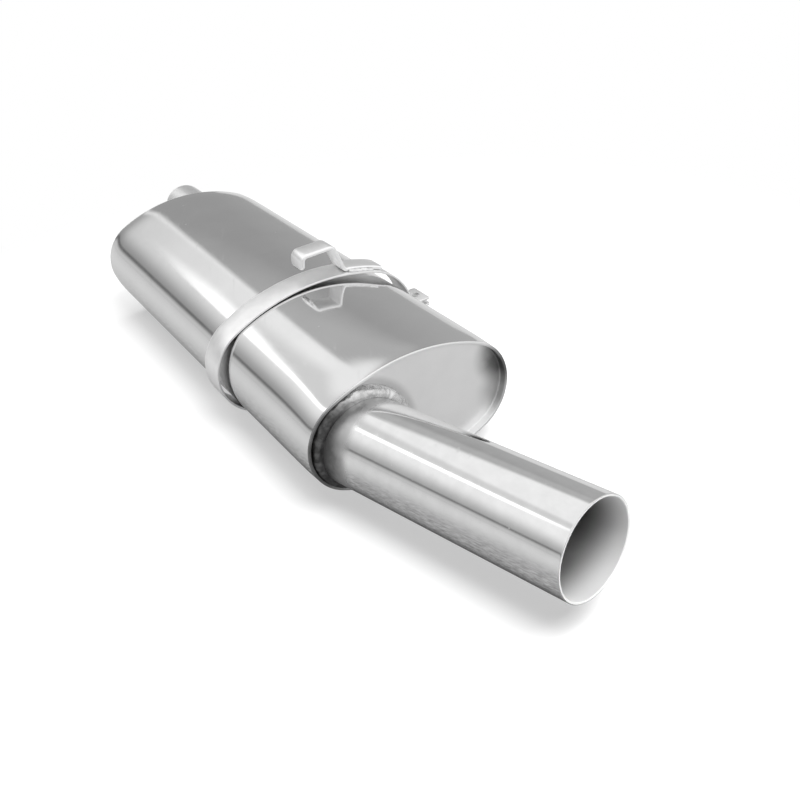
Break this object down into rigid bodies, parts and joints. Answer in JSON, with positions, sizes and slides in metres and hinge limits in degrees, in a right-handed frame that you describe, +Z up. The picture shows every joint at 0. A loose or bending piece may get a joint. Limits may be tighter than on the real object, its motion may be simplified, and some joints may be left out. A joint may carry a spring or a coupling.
{
  "type": "rear muffler",
  "caption": "Long oval rear muffler in polished steel with a small inlet pipe, a large slanted tail pipe and a loose strap clamp that carries a bent hanger.",
  "frame": {"origin": "centre of the inlet pipe's open end", "axes": "+X along the gas flow towards the tail pipe, +Y across the body away from the tail pipe's side, +Z up through the body's short side, with the hanger on top"},
  "size_m": [0.8209, 0.2234, 0.1469],
  "materials": {
    "polished_steel": "polished",
    "satin_steel": "satin",
    "weld_steel": "as welded",
    "inner_steel": "matte",
    "packing_wool": "matte"
  },
  "bodies": {
    "root": {"body_shell": "polished_steel", "inlet_end_cap": "satin_steel", "outlet_end_cap": "satin_steel", "inlet_pipe": "satin_steel", "tail_pipe": "polished_steel", "inlet_weld": "weld_steel", "tail_pipe_weld": "weld_steel", "strap_band": "satin_steel", "hanger_bracket": "satin_steel", "hanger_weld_front": "weld_steel", "hanger_weld_rear": "weld_steel", "inlet_core": "inner_steel", "outlet_core": "inner_steel", "return_tube_upper": "inner_steel", "return_tube_lower": "inner_steel", "front_baffle": "inner_steel", "centre_baffle": "inner_steel", "rear_baffle": "inner_steel", "wool_front": "packing_wool", "wool_rear": "packing_wool", "inlet_wrap_front": "inner_steel", "inlet_wrap_rear": "inner_steel", "outlet_wrap_front": "inner_steel", "outlet_wrap_rear": "inner_steel"}
  },
  "joints": []
}
